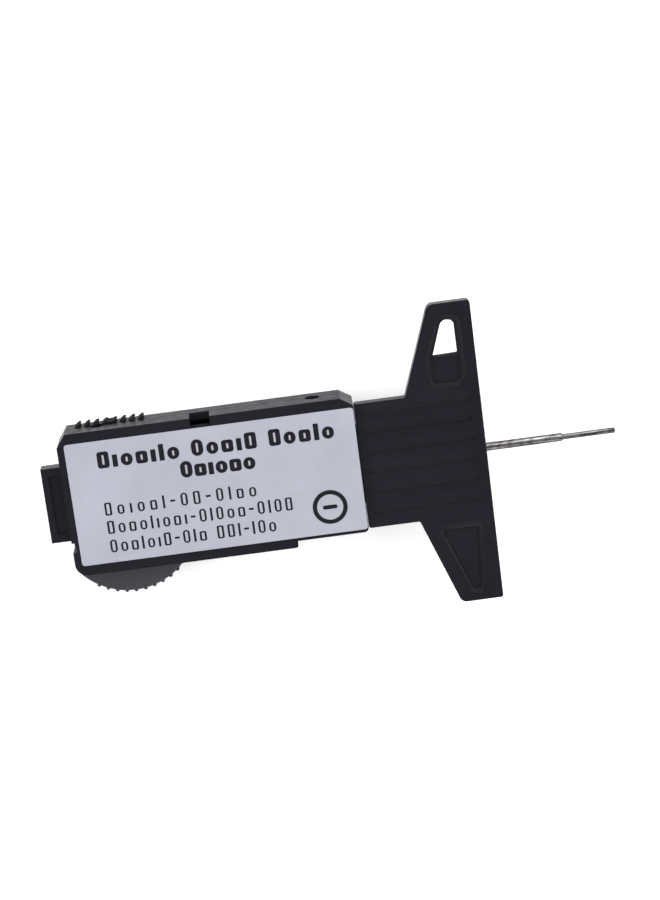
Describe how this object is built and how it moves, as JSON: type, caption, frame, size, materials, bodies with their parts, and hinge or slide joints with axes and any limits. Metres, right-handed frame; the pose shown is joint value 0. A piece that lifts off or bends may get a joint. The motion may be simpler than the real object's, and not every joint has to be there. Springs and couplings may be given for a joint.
{
  "type": "tire tread depth gauge",
  "caption": "Digital depth gauge: T-shaped base with a flat measuring face, slider with display, buttons and coin cell on a beam, and a steel probe.",
  "frame": {"origin": "centre of the bottom of the bounding box at rest, on the plane the display side lies on", "axes": "+X along the gauge from the slider to the probe's tip, +Y across it towards the wing with the hang hole, +Z out of the label side"},
  "size_m": [0.1116, 0.06, 0.0135],
  "materials": {
    "black_plastic": "fine moulded texture, satin",
    "grip_plastic": "fine moulded texture, matt",
    "label_foil": "silver-grey printed foil, satin",
    "probe_steel": "ground and polished",
    "screw_steel": "zinc plated",
    "circuit_laminate": "solder mask",
    "scale_board": "solder mask over copper pattern",
    "overlay_film": "printed film, satin",
    "clear_window": "clear acrylic, polished",
    "lcd_glass": "reflective display glass",
    "zebra_rubber": "layered elastomer",
    "button_red": "satin",
    "button_grey": "satin",
    "nickel": "nickel plated, satin",
    "brass": "machined",
    "epoxy": "glossy epoxy"
  },
  "bodies": {
    "base": {"base_beam": "black_plastic", "scale_strip": "scale_board", "scale_film": "overlay_film"},
    "slider": {"rear_cover": "black_plastic", "front_housing": "grip_plastic", "rear_label": "label_foil", "front_faceplate": "overlay_film", "probe_sleeve": "probe_steel", "probe_pin": "probe_steel", "probe_holder": "brass", "holder_screw": "screw_steel", "gib_spring": "screw_steel", "gib_screw_left": "screw_steel", "gib_screw_right": "screw_steel", "circuit_board": "circuit_laminate", "chip_blob": "epoxy", "lcd_panel": "lcd_glass", "zebra_connector": "zebra_rubber", "display_window": "clear_window", "dome_power": "nickel", "dome_units": "nickel", "dome_zero": "nickel", "battery_cell": "nickel", "battery_contact_negative": "nickel", "battery_contact_positive": "nickel", "cover_screw_1": "screw_steel", "cover_screw_2": "screw_steel", "cover_screw_3": "screw_steel", "cover_screw_4": "screw_steel", "board_screw_1": "screw_steel", "board_screw_2": "screw_steel"},
    "button_power": {"button_power": "button_red"},
    "button_units": {"button_units": "button_grey"},
    "button_zero": {"button_zero": "button_grey"},
    "battery_cover": {"battery_cover": "black_plastic"}
  },
  "joints": [
    {"name": "slider_travel", "type": "slide", "parent": "base", "child": "slider", "axis": [1, 0, 0], "range_m": [-0.0254, 0]},
    {"name": "button_power_press", "type": "slide", "parent": "slider", "child": "button_power", "axis": [0, 0, 1], "range_m": [0, 0.0006], "stiffness_N_per_m": 1000, "springref_m": -0.0002},
    {"name": "button_units_press", "type": "slide", "parent": "slider", "child": "button_units", "axis": [0, 0, 1], "range_m": [0, 0.0006], "stiffness_N_per_m": 1000, "springref_m": -0.0002},
    {"name": "button_zero_press", "type": "slide", "parent": "slider", "child": "button_zero", "axis": [0, 0, 1], "range_m": [0, 0.0006], "stiffness_N_per_m": 1000, "springref_m": -0.0002},
    {"name": "battery_cover_turn", "type": "hinge", "parent": "slider", "child": "battery_cover", "pos_m": [-0.0411, -0.012, 0.0006], "axis": [0, 0, -1], "range_deg": [0, 45]}
  ]
}
